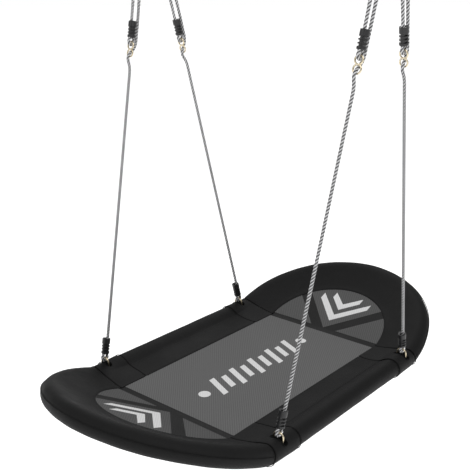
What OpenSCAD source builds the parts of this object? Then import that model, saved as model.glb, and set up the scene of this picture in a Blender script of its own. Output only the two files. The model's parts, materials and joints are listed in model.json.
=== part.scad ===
// Platform swing: a padded steel rim with turned-up round ends carries a woven mat,
// and four adjustable ropes hang it from two rings and two snap hooks.
// Millimetres. +X runs along the seat, +Y across it and +Z up.
// The origin lies midway between the bores of the two snap hooks.

/* [Seat frame] */
// Distance from the middle of the seat to each fold line, where an end turns up
fold_x = 381; // [340:1:430]
// Distance from the centre line to the side tubes, and radius of the round ends
rim_r = 345; // [300:1:400]
// Angle by which the ends turn up
tilt = 20.5; // [8:0.5:28]
// Straight length of an end between the fold and its round part
arc_x = 7.2; // [4:0.2:20]
// Outer diameter of the frame tube
tube_d = 22; // [18:0.5:24]
// Wall of the frame tube
tube_wall = 2; // [1.5:0.1:2.5]
// Distance from the middle of the seat to the joints in the side tubes
joint_x = 235; // [180:1:240]
// Length of the plug that joins two tubes
joiner_l = 90; // [70:1:110]
// Distance from each joint to the screws beside it
screw_offset = 22; // [15:1:30]
// Diameter of the frame screws
screw_d = 5; // [4:0.5:6]

/* [Padding and covers] */
// Outer diameter of the foam
foam_d = 56.2; // [50:0.1:62]
// Thickness of the side and end covers
cover_t = 1.4; // [1:0.1:2.5]
// Thickness of the quilted corner covers
corner_t = 3.2; // [2:0.1:5]
// Distance from the middle of the seat to the near edge of the corner covers
corner_x = 270; // [250:1:285]
// Length of side cover that runs under a corner cover
cover_lap = 15; // [8:1:20]
// Gap in the foam around each link
foam_gap = 14; // [10:1:18]
// Width of the slot over each link
slot_w = 18; // [16:0.5:20]
// Angle from the top of the pad to the inner end of the slot
slot_in = 48; // [44:1:60]
// Angle from the top of the pad to the outer end of the slot
slot_out = 62; // [52:1:75]

/* [Mat] */
// Width of the mat between its borders
mat_w = 438; // [380:1:480]
// Thickness of the mat
mat_t = 2; // [1.5:0.1:3]
// Thickness of the border panel
border_t = 2; // [1.5:0.1:3]
// Width of mat that is sewn under the border
seam_w = 12; // [8:1:20]

/* [Links and rope eyes] */
// Distance from the middle of the seat to the links
hang_x = 332; // [320:1:340]
// Wire diameter of a link
link_wire = 6; // [5:0.5:7]
// Play between a link and the tube on each side
link_play = 1; // [0.5:0.1:2]
// Inner length of a link
link_l = 55.3; // [54:0.1:60]
// Diameter of the rope
rope_d = 10; // [9:0.5:10.5]
// Radius of a rope eye on the rope's centre line
eye_r = 10; // [9.8:0.1:11]
// Sheet thickness of a thimble
thimble_t = 0.9; // [0.6:0.1:1.1]
// Distance from the centre of an eye to its sleeve
eye_to_sleeve = 12; // [11:0.5:16]
// Length of a sleeve
sleeve_l = 50; // [46:1:60]
// Outer diameter of a sleeve
sleeve_d = 25.6; // [25:0.1:30]

/* [Adjuster] */
// Distance along a rope from its link to the lower hole of the adjuster
adjuster_h = 960; // [700:1:1100]
// Hole in each half of an adjuster
adjuster_hole = 18; // [17:0.5:22]
// Wire diameter of an adjuster
adjuster_wire = 5; // [4:0.5:5.5]

/* [Hanging] */
// Half the distance between the two hanging points
hang_y = 438; // [360:1:500]
// Height of the hanging rings above the seat frame
drop = 1489; // [1300:1:1700]
// Inner diameter of a hanging ring
ring_id = 60; // [58:1:70]
// Wire diameter of a hanging ring
ring_wire = 8; // [7:0.5:9]
// Wire diameter of a snap hook
hook_wire = 10; // [9:0.5:11]
// Bow radius of a snap hook on the wire's centre line
hook_r = 16; // [15.5:0.5:20]
// Straight length of a snap hook between its bows
hook_l = 50; // [46:1:60]
// Outer diameter of the eye on a snap hook
hook_eye_d = 32; // [28:1:36]
// Bore of the eye on a snap hook
hook_bore_d = 13; // [11:0.5:14]
// Diameter of a snap hook's gate
gate_d = 9; // [8.5:0.5:10]

/* [Hidden] */
$fn = 48;

// Corners as [side along X, side along Y]
FRONT_LEFT = [-1, -1];
FRONT_RIGHT = [1, -1];
BACK_LEFT = [-1, 1];
BACK_RIGHT = [1, 1];

// Clearances between pieces
play = 0.3;
slip = 0.1;
foam_slack = 0.5;
sewn = 0.1;
cut = 1;

// Seat sizes worked out from the ones above
tube_r = tube_d / 2;
overrun = 1.1;
cover_r = foam_d / 2 + foam_slack + cover_t;
corner_r = cover_r + play + corner_t;
corner_end = fold_x + 2 * corner_r * tan(tilt / 2);
mat_half = mat_w / 2;

// A frame screw and its nut
screw_head_d = 1.9 * screw_d;
screw_head_h = 0.55 * screw_d;
nut_af = 1.6 * screw_d;
nut_h = 0.8 * screw_d;
screw_stand = 0.4;
pocket_play = 1.5;

// A link: its wire centre stands link_h from the tube's axis
link_w = tube_d + 2 * link_play;
link_bow = (link_w + link_wire) / 2;
link_h = link_l - tube_r - play + link_wire / 2;

// An eye, its thimble and its sleeve
rope_r = rope_d / 2;
strand_x = rope_r + 0.2;
thimble_arc = 210;
sleeve_block = 17;
sleeve_rib = 3.2;
sleeve_collar = 8;
sleeve_core_wall = 1.2;
sleeve_chamfer = 2;

// An adjuster: two rings of wire, one above the other, with the eye on the upper one
adjuster_bow = (adjuster_hole + adjuster_wire) / 2;
upper_eye = adjuster_h + 3 * adjuster_bow;

// A hanging ring, and the point of the swing axis above it
ring_bow = (ring_id + ring_wire) / 2;
swing_z = drop + ring_id / 2 - hook_wire / 2 - play;
hook_eye_z = 2 * hook_r + hook_l + hook_eye_d / 2 - 2;
top_z = swing_z + hook_eye_z;

// A gate: it turns on a rivet near the top bow and laps the nose of the hook
gate_r = gate_d / 2;
gate_pivot = hook_r + hook_l - 12;
gate_low = hook_r + 8;
gate_slot = 4.4;
lug_t = 3.8;
lug_reach = 6;
rivet_d = 3;
spring_r = 1.6;
spring_wire = 0.7;
spring_turns = 7;
spring_l = 12;

// The leg's line: from the centre of a link's top wire to where the rope crosses its ring
lean = atan((hang_y - rim_r) / (drop - ring_bow));
spread = atan(hang_x / (drop - link_h));
function link_top(c) = [
    c.x * hang_x,
    c.y * (rim_r + link_h * sin(lean)),
    link_h * cos(lean)
];
function ring_point(c) = [c.x * ring_bow * sin(spread), c.y * hang_y, drop - ring_bow * cos(spread)];
function leg_length(c) = norm(ring_point(c) - link_top(c));

// Route of a rope along its leg: x and y across it, z along it.
// It starts in the lower eye, climbs through the adjuster, passes over the hanging ring
// and comes back down into the upper eye.
LOWER_EYE = [[-5.2, 0, 15], [-9.8, 0, 3], [-5, 0, -8.7], [5, 0, -8.7], [9.8, 0, 3], [5.2, 0, 15]];
THROUGH_ADJUSTER = [[-9.5, 0, -26], [-7, 0, -8.5], [0, 0, 0], [13, 0, 13], [20.6, 0, 30], [20.6, 0, 104]];
OVER_RING = [[0, -10.8, -2], [0, -5.6, 9.3], [0, 5.6, 9.3], [0, 10.8, -2]];
UPPER_EYE = [[-5.2, 0, 70], [-5.2, 0, 15], [-9.8, 0, 3], [-5, 0, -8.7], [5, 0, -8.7], [9.8, 0, 3], [5.2, 0, 15]];
function raised(points, z) = [for (p = points) p + [0, 0, z]];
function rope_route(c) = concat(
    LOWER_EYE,
    raised(THROUGH_ADJUSTER, adjuster_h),
    raised(OVER_RING, leg_length(c)),
    raised(UPPER_EYE, upper_eye)
);

// A round tube swept along points: rings of sides points, square to the path
function unit(v) = v / norm(v);
function heading(p, i) =
    i == 0 ? unit(p[1] - p[0])
    : i == len(p) - 1 ? unit(p[i] - p[i - 1])
    : unit(unit(p[i + 1] - p[i]) + unit(p[i] - p[i - 1]));
function square_to(v, t) = unit(v - (v * t) * t);
function side_axes(p, first, i = 0, found = []) =
    i == len(p) ? found
    : side_axes(p, first, i + 1,
        concat(found, [square_to(i == 0 ? first : found[i - 1], heading(p, i))]));
function ring_at(centre, t, u, r, sides) =
    [for (k = [0:sides - 1]) centre + r * (cos(k * 360 / sides) * u + sin(k * 360 / sides) * cross(t, u))];

module swept(points, r, sides, first) {
    u = side_axes(points, first);
    last = len(points) - 1;
    corners = [for (i = [0:last]) each ring_at(points[i], heading(points, i), u[i], r, sides)];
    walls = [
        for (i = [0:last - 1], k = [0:sides - 1])
            let (a = i * sides + k, b = i * sides + (k + 1) % sides)
            each [[a, a + sides, b + sides], [a, b + sides, b]]
    ];
    caps = [[for (k = [0:sides - 1]) k], [for (k = [sides - 1:-1:0]) last * sides + k]];
    polyhedron(corners, concat(walls, caps));
}

// Places children in the frame of the whole swing, with the seat frame given at z = 0
module hung() {
    translate([0, 0, -top_z]) children();
}

// Mirrors children, drawn for the back right corner, to another corner
module at_corner(c) {
    mirror([c.x < 0 ? 1 : 0, 0, 0]) mirror([0, c.y < 0 ? 1 : 0, 0]) children();
}

// Stands children on a leg: z runs from the link's top wire up to the ring
module along_leg(c) {
    d = unit(ring_point(c) - link_top(c));
    translate(link_top(c)) rotate([-asin(d.y), atan2(d.x, d.z), 0]) children();
}

// Turns a shape drawn in the XY plane into the YZ plane
module in_yz() {
    rotate([90, 0, 90]) children();
}

// Turns a shape drawn in the XY plane into the XZ plane
module in_xz() {
    rotate([90, 0, 0]) children();
}

module rod_x(x0, x1, r) {
    translate([x0, 0, 0]) rotate([0, 90, 0]) cylinder(h = x1 - x0, r = r);
}

// Plane of the right end, turned up about the fold line
module end_plane() {
    translate([fold_x, 0, 0]) rotate([0, -tilt, 0]) children();
}

// Round end of the rim with its two straights, which run on past the fold by reach
module rim_arc(r, reach) {
    end_plane() {
        translate([arc_x, 0, 0]) rotate([0, 0, -90])
            rotate_extrude(angle = 180) translate([rim_r, 0]) circle(r);
        for (s = [-1, 1]) translate([0, s * rim_r, 0]) rod_x(-reach, arc_x, r);
    }
}

// Right end of the rim, from x0 on both sides: straights meet in a mitre at the fold
module rim_end(r, x0) {
    reach = overrun * r * tan(tilt / 2);
    rim_arc(r, reach);
    for (s = [-1, 1]) translate([0, s * rim_r, 0]) rod_x(x0, fold_x + reach, r);
}

module rim_side(r, x1) {
    translate([0, rim_r, 0]) rod_x(-x1, x1, r);
}

module right_or_left(side) {
    mirror([side < 0 ? 1 : 0, 0, 0]) children();
}

module back_or_front(side) {
    mirror([0, side < 0 ? 1 : 0, 0]) children();
}

module each_screw() {
    for (sx = [-1, 1], sy = [-1, 1], k = [-1, 1])
        translate([sx * (joint_x + k * screw_offset), sy * rim_r, 0]) children();
}

module screw_holes() {
    each_screw() cylinder(h = tube_d + 2 * cut, d = screw_d + 2 * play, center = true);
}

// Room in the foam for the screw heads and nuts
module screw_pockets() {
    top = tube_r + screw_stand + nut_h + pocket_play;
    each_screw() cylinder(h = 2 * top, d = 2 * nut_af, center = true);
}

module side_tube(side) {
    color("dimgray") hung() difference() {
        back_or_front(side) difference() {
            rim_side(tube_r, joint_x - play);
            rim_side(tube_r - tube_wall, joint_x + cut);
        }
        screw_holes();
    }
}

module end_tube(side) {
    color("dimgray") hung() difference() {
        right_or_left(side) difference() {
            rim_end(tube_r, joint_x);
            rim_end(tube_r - tube_wall, joint_x - cut);
        }
        screw_holes();
    }
}

module tube_joiners() {
    color("gray") hung() difference() {
        for (sx = [-1, 1], sy = [-1, 1])
            translate([sx * joint_x, sy * rim_r, 0]) difference() {
                rod_x(-joiner_l / 2, joiner_l / 2, tube_r - tube_wall - slip);
                rod_x(-joiner_l / 2 - cut, joiner_l / 2 + cut, tube_r - 2 * tube_wall - slip);
            }
        screw_holes();
    }
}

module joint_screws() {
    shank = tube_d + 2 * screw_stand + nut_h + cut;
    color("silver") hung() each_screw() translate([0, 0, -tube_r - screw_stand]) {
        cylinder(h = shank, d = screw_d);
        translate([0, 0, -screw_head_h]) cylinder(h = screw_head_h, d = screw_head_d);
    }
}

module joint_nuts() {
    color("silver") hung() each_screw() translate([0, 0, tube_r + screw_stand]) difference() {
        cylinder(h = nut_h, d = nut_af / cos(30), $fn = 6);
        translate([0, 0, -cut]) cylinder(h = nut_h + 2 * cut, d = screw_d + 2 * slip);
    }
}

module foam_side(side) {
    color("darkslategray") hung() difference() {
        back_or_front(side) difference() {
            rim_side(foam_d / 2, hang_x - foam_gap / 2);
            rim_side(tube_r + slip, hang_x);
        }
        screw_pockets();
    }
}

module foam_end(side) {
    color("darkslategray") hung() right_or_left(side) difference() {
        rim_end(foam_d / 2, hang_x + foam_gap / 2);
        rim_end(tube_r + slip, hang_x);
    }
}

module cover_side(side) {
    color([0.14, 0.14, 0.14]) hung() back_or_front(side) difference() {
        rim_side(cover_r, corner_x + cover_lap);
        rim_side(cover_r - cover_t, corner_x + cover_lap + cut);
    }
}

// Everything beyond the mitre plane of the right fold, from gap past it
module past_fold(gap) {
    translate([fold_x, 0, 0]) rotate([0, -tilt / 2, 0])
        translate([gap, -2 * rim_r, -2 * rim_r]) cube(4 * rim_r);
}

// Everything before the mitre plane of the right fold
module before_fold() {
    translate([fold_x, 0, 0]) rotate([0, -tilt / 2, 0])
        translate([-4 * rim_r, -2 * rim_r, -2 * rim_r]) cube(4 * rim_r);
}

module cover_end(side) {
    reach = 2 * cover_r * tan(tilt / 2);
    color([0.14, 0.14, 0.14]) hung() right_or_left(side) difference() {
        end_plane() {
            translate([arc_x, 0, 0]) rotate([0, 0, -90]) rotate_extrude(angle = 180)
                translate([rim_r, 0]) cover_section();
            for (s = [-1, 1]) translate([-reach, s * rim_r, 0])
                rotate([90, 0, 90]) linear_extrude(arc_x + reach) cover_section();
        }
        before_fold();
    }
}

module cover_section() {
    difference() {
        circle(cover_r);
        circle(cover_r - cover_t);
    }
}

// Slot over a link, as a wedge about the tube's axis with round ends
module link_slot() {
    translate([hang_x, rim_r, 0]) rotate([0, 90, 0]) {
        rotate([0, 0, 180 - slot_out]) rotate_extrude(angle = slot_in + slot_out)
            translate([corner_r - 2 * corner_t, -slot_w / 2]) square([3 * corner_t, slot_w]);
        for (a = [180 - slot_out, 180 + slot_in])
            rotate([0, 0, a]) translate([corner_r - 2 * corner_t, 0, 0])
                rotate([0, 90, 0]) cylinder(h = 3 * corner_t, d = slot_w);
    }
}

module cover_corner(c) {
    color([0.16, 0.16, 0.16]) hung() at_corner(c) difference() {
        translate([0, rim_r, 0]) rod_x(corner_x, corner_end, corner_r);
        translate([0, rim_r, 0]) rod_x(corner_x - cut, corner_end + cut, corner_r - corner_t);
        link_slot();
        past_fold(-play);
    }
}

// Strips beside the mat, and a half ring around each of its round ends
module border_panel() {
    inner = rim_r - corner_r - play;
    color([0.13, 0.13, 0.13]) hung() {
        for (s = [-1, 1])
            translate([-fold_x, s > 0 ? mat_half : -inner, sewn])
                cube([2 * fold_x, inner - mat_half, border_t]);
        for (s = [-1, 1]) right_or_left(s) end_plane() translate([0, 0, sewn]) difference() {
            union() {
                translate([arc_x, 0, 0]) cylinder(h = border_t, r = rim_r - cover_r - play, $fn = 96);
                translate([0, -inner, 0]) cube([arc_x, 2 * inner, border_t]);
            }
            translate([arc_x, 0, -cut]) cylinder(h = border_t + 2 * cut, r = mat_half, $fn = 96);
            translate([-cut, -mat_half, -cut]) cube([arc_x + cut, mat_w, border_t + 2 * cut]);
            translate([-rim_r, -rim_r, -cut]) cube([rim_r, 2 * rim_r, border_t + 2 * cut]);
        }
    }
}

module woven_mat() {
    round_r = mat_half + seam_w;
    edge = round_r - 1;
    lap = 1.5 * mat_t;
    color([0.4, 0.4, 0.4]) hung() {
        translate([-fold_x - lap, -edge, -mat_t]) cube([2 * (fold_x + lap), 2 * edge, mat_t]);
        for (s = [-1, 1]) right_or_left(s) end_plane() translate([0, 0, -mat_t]) difference() {
            translate([arc_x, 0, 0]) cylinder(h = mat_t, r = round_r);
            translate([-lap - 2 * round_r, -2 * round_r, -cut])
                cube([2 * round_r, 4 * round_r, mat_t + 2 * cut]);
        }
    }
}

module half_link_bow() {
    rotate_extrude(angle = 180) translate([link_bow, 0]) circle(d = link_wire);
}

// A link stands around the tube and leans outward with its rope
module link(c) {
    low = -tube_r - play + link_w / 2;
    high = link_h - link_bow;
    color("darkkhaki") hung() translate([c.x * hang_x, c.y * rim_r, 0]) rotate([-c.y * lean, 0, 0]) in_yz() {
        translate([0, high, 0]) half_link_bow();
        translate([0, low, 0]) rotate([0, 0, 180]) half_link_bow();
        for (s = [-1, 1])
            translate([s * link_bow, low, 0]) rotate([-90, 0, 0]) cylinder(h = high - low, d = link_wire);
    }
}

// A thimble lines the inside of a rope eye
module thimble(c, z) {
    color("silver") hung() along_leg(c) translate([0, 0, z]) in_xz()
        rotate([0, 0, -90 - thimble_arc / 2]) rotate_extrude(angle = thimble_arc)
            intersection() {
                translate([eye_r, 0]) difference() {
                    circle(rope_r + slip + thimble_t);
                    circle(rope_r + slip);
                }
                translate([0, -rope_d]) square([eye_r - slip, 2 * rope_d]);
            }
}

// Two strands side by side, as an upright oval prism
module strand_pair(wall, z0, z1) {
    half = strand_x;
    r = rope_r + 2 * slip + wall;
    translate([0, 0, z0]) {
        for (s = [-1, 1]) translate([s * half, 0, 0]) cylinder(h = z1 - z0, r = r);
        translate([-half, -r, 0]) cube([2 * half, 2 * r, z1 - z0]);
    }
}

module sleeve(c, z) {
    groove = (sleeve_l - sleeve_block - sleeve_collar - 2 * sleeve_rib) / 3;
    color([0.1, 0.1, 0.1]) hung() along_leg(c) translate([0, 0, z + eye_to_sleeve]) difference() {
        union() {
            strand_pair(sleeve_core_wall, 0, sleeve_l);
            cylinder(h = sleeve_chamfer, d1 = sleeve_d - 2 * sleeve_chamfer, d2 = sleeve_d);
            translate([0, 0, sleeve_chamfer]) cylinder(h = sleeve_collar - sleeve_chamfer, d = sleeve_d);
            for (k = [0, 1])
                translate([0, 0, sleeve_collar + groove + k * (sleeve_rib + groove)])
                    cylinder(h = sleeve_rib, d = sleeve_d);
            translate([0, 0, sleeve_l - sleeve_block]) cylinder(h = sleeve_block, d = sleeve_d);
        }
        strand_pair(0, -cut, sleeve_l + cut);
    }
}

module rope(c) {
    color("darkgray") hung() along_leg(c) swept(rope_route(c), rope_r, 8, [0, 1, 0]);
}

module adjuster(c) {
    color("darkkhaki") hung() along_leg(c)
        for (k = [0, 1]) translate([0, 0, adjuster_h + 2 * k * adjuster_bow]) in_yz()
            rotate_extrude() translate([adjuster_bow, 0]) circle(d = adjuster_wire);
}

module hanging_ring(side) {
    color("darkkhaki") hung() translate([0, side * hang_y, drop]) in_xz()
        rotate_extrude() translate([ring_bow, 0]) circle(d = ring_wire);
}

// Frame of a snap hook: drawn in the YZ plane, gate towards the seat's centre line
module at_hook(side) {
    translate([0, side * hang_y, swing_z]) back_or_front(side) children();
}

module half_hook_bow() {
    in_yz() rotate_extrude(angle = 180) translate([hook_r, 0]) circle(d = hook_wire);
}

module rivet_hole(d) {
    translate([0, -hook_r, gate_pivot]) rod_x(-hook_wire, hook_wire, d / 2);
}

module snap_hook(side) {
    spine_top = hook_r + hook_l;
    color("silver") hung() at_hook(side) difference() {
        union() {
            translate([0, 0, hook_r]) rotate([180, 0, 0]) half_hook_bow();
            translate([0, hook_r, hook_r]) cylinder(h = hook_l, d = hook_wire);
            translate([0, 0, spine_top]) half_hook_bow();
            translate([0, -hook_r, hook_r]) cylinder(h = gate_low - hook_r - play, d = hook_wire);
            translate([-lug_t / 2, -hook_r - gate_r + cut, gate_low - cut])
                cube([lug_t, gate_d - 2 * cut, lug_reach + cut]);
            translate([-lug_t / 2, -hook_r - gate_r + cut, gate_pivot - 3])
                cube([lug_t, gate_d - 2 * cut, spine_top - gate_pivot + 3]);
            translate([0, 0, hook_eye_z]) rod_x(-hook_wire / 2, hook_wire / 2, hook_eye_d / 2);
        }
        translate([0, 0, hook_eye_z]) rod_x(-hook_wire, hook_wire, hook_bore_d / 2);
        rivet_hole(rivet_d + 2 * slip);
    }
}

// A gate is forked at the top around the hinge lug, hollow for its spring,
// and open at the bottom on its outer side, so that it only opens inwards.
// Both its ends are short enough to swing clear of the hook.
module gate(side) {
    swing_r = hook_r + hook_l - gate_pivot - play;
    high = gate_pivot + sqrt(swing_r * swing_r - gate_r * gate_r);
    nose_r = gate_pivot - gate_low;
    low = gate_pivot - sqrt(nose_r * nose_r - gate_r * gate_r);
    lap_r = nose_r - lug_reach - play;
    lap_top = gate_pivot - sqrt(lap_r * lap_r - gate_r * gate_r);
    fork = gate_pivot - 5;
    color("gainsboro") hung() at_hook(side) difference() {
        translate([0, -hook_r, low]) cylinder(h = high - low, r = gate_r);
        translate([-gate_slot / 2, -hook_r - gate_d, fork]) cube([gate_slot, 2 * gate_d, high]);
        translate([-gate_slot / 2, -hook_r - gate_d, gate_low - cut])
            cube([gate_slot, gate_d + gate_r - cut + play, lap_top - gate_low + cut]);
        translate([0, -hook_r, fork - spring_l - cut]) cylinder(h = spring_l + 2 * cut, r = spring_r + spring_wire);
        rivet_hole(rivet_d + 2 * slip);
    }
}

module gate_spring(side) {
    steps = 12 * spring_turns;
    coil = [
        for (i = [0:steps])
            [spring_r * cos(30 * i), spring_r * sin(30 * i), (spring_l - spring_wire) * i / steps + spring_wire / 2]
    ];
    color("silver") hung() at_hook(side) translate([0, -hook_r, gate_pivot - 5 - spring_l - cut + play])
        swept(coil, spring_wire / 2, 6, [1, 0, 0]);
}

module gate_rivets() {
    head = gate_r + slip;
    color("silver") hung() for (side = [-1, 1]) at_hook(side)
        translate([0, -hook_r, gate_pivot]) {
            rod_x(-head, head, rivet_d / 2);
            for (s = [-1, 1]) rod_x(s > 0 ? head : -head - cut, s > 0 ? head + cut : -head, rivet_d * 0.8);
        }
}

side_tube(-1);  // side_tube_front
side_tube(1);  // side_tube_back
end_tube(-1);  // end_tube_left
end_tube(1);  // end_tube_right
tube_joiners();
joint_screws();
joint_nuts();
foam_side(-1);  // foam_side_front
foam_side(1);  // foam_side_back
foam_end(-1);  // foam_end_left
foam_end(1);  // foam_end_right
cover_side(-1);  // cover_side_front
cover_side(1);  // cover_side_back
cover_end(-1);  // cover_end_left
cover_end(1);  // cover_end_right
cover_corner(FRONT_LEFT);  // cover_corner_front_left
cover_corner(FRONT_RIGHT);  // cover_corner_front_right
cover_corner(BACK_LEFT);  // cover_corner_back_left
cover_corner(BACK_RIGHT);  // cover_corner_back_right
border_panel();
woven_mat();
link(FRONT_LEFT);  // link_front_left
link(FRONT_RIGHT);  // link_front_right
link(BACK_LEFT);  // link_back_left
link(BACK_RIGHT);  // link_back_right
thimble(FRONT_LEFT, 0);  // lower_thimble_front_left
thimble(FRONT_RIGHT, 0);  // lower_thimble_front_right
thimble(BACK_LEFT, 0);  // lower_thimble_back_left
thimble(BACK_RIGHT, 0);  // lower_thimble_back_right
sleeve(FRONT_LEFT, 0);  // lower_sleeve_front_left
sleeve(FRONT_RIGHT, 0);  // lower_sleeve_front_right
sleeve(BACK_LEFT, 0);  // lower_sleeve_back_left
sleeve(BACK_RIGHT, 0);  // lower_sleeve_back_right
rope(FRONT_LEFT);  // rope_front_left
rope(FRONT_RIGHT);  // rope_front_right
rope(BACK_LEFT);  // rope_back_left
rope(BACK_RIGHT);  // rope_back_right
adjuster(FRONT_LEFT);  // adjuster_front_left
adjuster(FRONT_RIGHT);  // adjuster_front_right
adjuster(BACK_LEFT);  // adjuster_back_left
adjuster(BACK_RIGHT);  // adjuster_back_right
thimble(FRONT_LEFT, upper_eye);  // upper_thimble_front_left
thimble(FRONT_RIGHT, upper_eye);  // upper_thimble_front_right
thimble(BACK_LEFT, upper_eye);  // upper_thimble_back_left
thimble(BACK_RIGHT, upper_eye);  // upper_thimble_back_right
sleeve(FRONT_LEFT, upper_eye);  // upper_sleeve_front_left
sleeve(FRONT_RIGHT, upper_eye);  // upper_sleeve_front_right
sleeve(BACK_LEFT, upper_eye);  // upper_sleeve_back_left
sleeve(BACK_RIGHT, upper_eye);  // upper_sleeve_back_right
hanging_ring(-1);  // hanging_ring_front
hanging_ring(1);  // hanging_ring_back
snap_hook(-1);  // snap_hook_front
snap_hook(1);  // snap_hook_back
gate(-1);  // gate_front
gate(1);  // gate_back
gate_spring(-1);  // gate_spring_front
gate_spring(1);  // gate_spring_back
gate_rivets();
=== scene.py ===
import json
import logging
import math
from collections.abc import Sequence
from dataclasses import dataclass
from enum import Enum

import bpy
from mathutils import Matrix, Vector

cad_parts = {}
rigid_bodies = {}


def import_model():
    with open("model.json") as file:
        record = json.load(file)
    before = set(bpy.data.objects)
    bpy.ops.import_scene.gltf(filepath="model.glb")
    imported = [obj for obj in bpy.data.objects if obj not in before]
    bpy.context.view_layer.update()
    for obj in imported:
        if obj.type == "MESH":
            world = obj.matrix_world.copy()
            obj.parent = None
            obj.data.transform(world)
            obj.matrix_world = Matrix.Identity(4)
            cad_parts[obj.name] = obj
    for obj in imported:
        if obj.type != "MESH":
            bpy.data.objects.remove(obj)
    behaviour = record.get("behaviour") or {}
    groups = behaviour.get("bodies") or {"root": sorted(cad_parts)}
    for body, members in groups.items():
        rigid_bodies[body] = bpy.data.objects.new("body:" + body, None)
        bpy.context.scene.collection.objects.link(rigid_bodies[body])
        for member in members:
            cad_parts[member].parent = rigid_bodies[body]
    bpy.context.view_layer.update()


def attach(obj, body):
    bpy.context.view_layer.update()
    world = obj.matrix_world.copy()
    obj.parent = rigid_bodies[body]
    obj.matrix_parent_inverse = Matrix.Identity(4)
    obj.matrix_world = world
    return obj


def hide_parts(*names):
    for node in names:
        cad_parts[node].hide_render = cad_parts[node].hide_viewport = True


LOG = logging.getLogger("platform_swing")

Point = tuple[float, float, float]
Face = tuple[int, ...]

MM = 0.001
# Height of the bores in the snap hooks above the seat's middle plane
HANG_H = 1609.7
FOLD_X = 381.0
TILT = math.radians(20.5)
RIM_R = 345.0
ARC_X = 7.2
MAT_HALF = 219.0


class Side(Enum):
    """Front or back half of the swing, by the sign of Y."""

    FRONT = -1
    BACK = 1


class End(Enum):
    """Left or right end of the swing, by the sign of X."""

    LEFT = -1
    RIGHT = 1


CORNERS = [(end, side) for side in Side for end in End]


def corner_name(end: End, side: Side) -> str:
    """Words that name a corner, as the CAD nodes have them."""
    return f"{side.name.lower()}_{end.name.lower()}"


def seat_point(x: float, y: float, z: float) -> Point:
    """A point of the seat, given in millimetres from the middle of the mat, in the row frame."""
    return (x * MM, y * MM, (z - HANG_H) * MM)


def end_point(end: End, s: float, y: float, z: float) -> Point:
    """A point of a turned-up end.

    Args:
        end: which end.
        s: distance from the fold, along the turned-up plane, in millimetres.
        y: distance from the centre line.
        z: height above the turned-up plane.

    Returns:
        The point in the row frame, in metres.
    """
    x = FOLD_X + s * math.cos(TILT) - z * math.sin(TILT)
    return seat_point(end.value * x, y, s * math.sin(TILT) + z * math.cos(TILT))


def deselect() -> None:
    """Leaves nothing selected, with no active object in edit mode."""
    if bpy.context.object and bpy.context.object.mode != "OBJECT":
        bpy.ops.object.mode_set(mode="OBJECT")
    bpy.ops.object.select_all(action="DESELECT")


def activate(obj: bpy.types.Object) -> None:
    """Selects one object alone and makes it active."""
    deselect()
    obj.select_set(True)
    bpy.context.view_layer.objects.active = obj


def mesh_piece(
    name: str, verts: Sequence[Point], faces: Sequence[Face], smooth: bool = True
) -> bpy.types.Object:
    """Makes a piece from points and faces in the row frame.

    Args:
        name: name of the piece.
        verts: its points, in metres.
        faces: its faces, as point numbers.
        smooth: True to shade it smooth.

    Returns:
        The new object.
    """
    mesh = bpy.data.meshes.new(name)
    mesh.from_pydata(verts, [], faces)
    mesh.update()
    obj = bpy.data.objects.new(name, mesh)
    bpy.context.scene.collection.objects.link(obj)
    activate(obj)
    bpy.ops.object.mode_set(mode="EDIT")
    bpy.ops.mesh.select_all(action="SELECT")
    bpy.ops.mesh.normals_make_consistent(inside=False)
    bpy.ops.object.mode_set(mode="OBJECT")
    if smooth:
        bpy.ops.object.shade_smooth_by_angle(angle=math.radians(50))
    deselect()
    return obj


def apply_modifier(obj: bpy.types.Object, kind: str, name: str, **settings: object) -> None:
    """Adds a modifier with its settings and applies it.

    Args:
        obj: the piece.
        kind: Blender's type of the modifier.
        name: a name for it.
        **settings: its properties.
    """
    mod = obj.modifiers.new(name, kind)
    for key, value in settings.items():
        setattr(mod, key, value)
    activate(obj)
    bpy.ops.object.modifier_apply(modifier=mod.name)
    deselect()


# ---------------------------------------------------------------- finishes


class Sock:
    """A shader socket that takes part in sums."""

    def __init__(self, graph: "Graph", socket: bpy.types.NodeSocket) -> None:
        """Keeps the graph and the socket."""
        self.graph = graph
        self.socket = socket

    def _math(self, operation: str, a: object, b: object) -> "Sock":
        """One Math node on two values."""
        return self.graph.node("ShaderNodeMath", {"operation": operation}, {0: a, 1: b})

    def __add__(self, other: object) -> "Sock":
        """Sum."""
        return self._math("ADD", self, other)

    def __radd__(self, other: object) -> "Sock":
        """Sum, with the socket second."""
        return self._math("ADD", other, self)

    def __sub__(self, other: object) -> "Sock":
        """Difference."""
        return self._math("SUBTRACT", self, other)

    def __rsub__(self, other: object) -> "Sock":
        """Difference, with the socket second."""
        return self._math("SUBTRACT", other, self)

    def __mul__(self, other: object) -> "Sock":
        """Product."""
        return self._math("MULTIPLY", self, other)

    def __rmul__(self, other: object) -> "Sock":
        """Product, with the socket second."""
        return self._math("MULTIPLY", other, self)

    def sine(self) -> "Sock":
        """Sine of the value."""
        return self._math("SINE", self, 0.0)


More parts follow.
